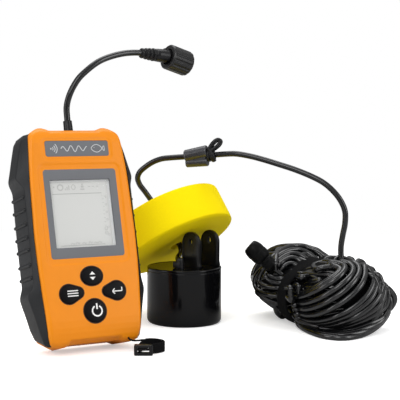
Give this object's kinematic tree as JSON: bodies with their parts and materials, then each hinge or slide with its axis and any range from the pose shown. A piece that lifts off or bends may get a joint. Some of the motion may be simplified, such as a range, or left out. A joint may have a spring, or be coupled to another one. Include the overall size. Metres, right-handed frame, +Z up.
{
  "type": "fish finder",
  "caption": "Hand-held sonar display with side grips and four keys, its pigtail plug and lanyard, and a float-borne transducer puck on a strapped coil of cable with an end plug.",
  "frame": {"origin": "centre of the transducer's flat base, on the plane the set stands on", "axes": "+Z up; +X to the right seen from in front of the display; -Y the way the display faces, before its lean back"},
  "size_m": [0.2517, 0.1711, 0.1877],
  "materials": {
    "orange_plastic": "satin moulded",
    "grip_rubber": "satin over-moulding",
    "seal_rubber": "satin",
    "black_plastic": "satin",
    "key_plastic": "satin",
    "bezel_plastic": "satin printed",
    "clear_plastic": "clear gloss",
    "lcd_glass": "satin grey-green",
    "white_plastic": "matte",
    "board": "solder resist",
    "steel": "plated",
    "cell_jacket": "printed sleeve",
    "contact_brass": "plated",
    "cable_jacket": "glossy PVC",
    "webbing": "woven",
    "transducer_shell": "high gloss",
    "resin": "cast",
    "cork": "pressed",
    "ceramic": "fired ceramic with silver faces",
    "yellow_foam": "closed-cell foam"
  },
  "bodies": {
    "handset": {"front_shell": "orange_plastic", "rear_shell": "orange_plastic", "shell_gasket": "seal_rubber", "case_screw_1": "steel", "case_screw_2": "steel", "case_screw_3": "steel", "case_screw_4": "steel", "left_grip": "grip_rubber", "right_grip": "grip_rubber", "window_bezel": "bezel_plastic", "window_lens": "clear_plastic", "lcd_glass": "lcd_glass", "lcd_frame": "white_plastic", "backlight": "white_plastic", "connector_strip": "seal_rubber", "name_badge": "bezel_plastic", "key_mat": "seal_rubber", "main_board": "board", "sonar_chip": "black_plastic", "buzzer": "black_plastic", "battery_tray": "black_plastic", "cell_1": "cell_jacket", "cell_2": "cell_jacket", "cell_3": "cell_jacket", "cell_4": "cell_jacket", "lower_contact": "steel", "upper_contact": "steel", "strain_relief": "black_plastic"},
    "unit_key": {"key_unit": "key_plastic"},
    "menu_key": {"key_menu": "key_plastic"},
    "enter_key": {"key_enter": "key_plastic"},
    "power_key": {"key_power": "key_plastic"},
    "door": {"battery_door": "orange_plastic"},
    "pigtail": {"pigtail_cable": "cable_jacket", "plug_boot": "black_plastic", "plug_core": "black_plastic", "plug_pins": "contact_brass", "plug_seal_ring": "seal_rubber"},
    "nut": {"coupling_nut": "black_plastic"},
    "lanyard": {"lanyard_cord": "webbing", "lanyard_strap": "webbing", "lanyard_clip": "black_plastic"},
    "transducer": {"transducer_cup": "transducer_shell", "transducer_cap": "transducer_shell", "piezo_disc": "ceramic", "absorber_disc": "cork", "potting": "resin", "cable_gland": "black_plastic", "float_cable": "cable_jacket"},
    "float_ring": {"float": "yellow_foam"},
    "stopper": {"cable_stopper": "black_plastic", "stopper_ring": "seal_rubber"},
    "coil": {"lead_cable": "cable_jacket", "cable_coil": "cable_jacket", "coil_strap": "webbing"},
    "end_plug": {"end_plug_shell": "black_plastic", "end_plug_insert": "contact_brass", "end_plug_cable": "cable_jacket"}
  },
  "joints": [
    {"name": "unit_press", "type": "slide", "parent": "handset", "child": "unit_key", "axis": [0, 0.9626, -0.2711], "range_m": [0, 0.0008], "stiffness_N_per_m": 600},
    {"name": "menu_press", "type": "slide", "parent": "handset", "child": "menu_key", "axis": [0, 0.9626, -0.2711], "range_m": [0, 0.0008], "stiffness_N_per_m": 600},
    {"name": "enter_press", "type": "slide", "parent": "handset", "child": "enter_key", "axis": [0, 0.9626, -0.2711], "range_m": [0, 0.0008], "stiffness_N_per_m": 600},
    {"name": "power_press", "type": "slide", "parent": "handset", "child": "power_key", "axis": [0, 0.9626, -0.2711], "range_m": [0, 0.0008], "stiffness_N_per_m": 600},
    {"name": "battery_door_hinge", "type": "hinge", "parent": "handset", "child": "door", "pos_m": [-0.0947, -0.03513, 0.03453], "axis": [-1, 0, 0], "range_deg": [0, 70], "stiffness_Nm_per_rad": 0.02},
    {"name": "pigtail_flex", "type": "hinge", "parent": "handset", "child": "pigtail", "pos_m": [-0.0933, -0.01935, 0.13741], "axis": [0, 1, 0], "range_deg": [-10, 10], "stiffness_Nm_per_rad": 0.6},
    {"name": "coupling_nut_spin", "type": "hinge", "parent": "pigtail", "child": "nut", "pos_m": [-0.0196, -0.0117, 0.1798], "axis": [0.9534, 0.1395, -0.2674], "continuous": true},
    {"name": "lanyard_swing", "type": "hinge", "parent": "handset", "child": "lanyard", "pos_m": [-0.0738, -0.0675, 0.0074], "axis": [0, 0, 1], "range_deg": [-20, 6]},
    {"name": "transducer_set", "type": "slide", "parent": "handset", "child": "transducer", "axis": [1, 0, 0], "range_m": [0, 0.06]},
    {"name": "float_slide", "type": "slide", "parent": "transducer", "child": "float_ring", "axis": [-0.2078, 0.525, 0.8253], "range_m": [0, 0.008]},
    {"name": "stopper_slide", "type": "slide", "parent": "transducer", "child": "stopper", "axis": [0.6885, -0.7205, 0.0828], "range_m": [-0.006, 0.006], "stiffness_N_per_m": 20},
    {"name": "coil_swing", "type": "hinge", "parent": "transducer", "child": "coil", "pos_m": [0.02353, -0.0074, 0.11472], "axis": [0, 0, 1], "range_deg": [-15, 15], "stiffness_Nm_per_rad": 0.05},
    {"name": "end_plug_flex", "type": "hinge", "parent": "coil", "child": "end_plug", "pos_m": [0.05641, -0.03886, 0.03221], "axis": [0.548, 0.8365, 0], "range_deg": [-6, 6], "stiffness_Nm_per_rad": 0.08}
  ]
}
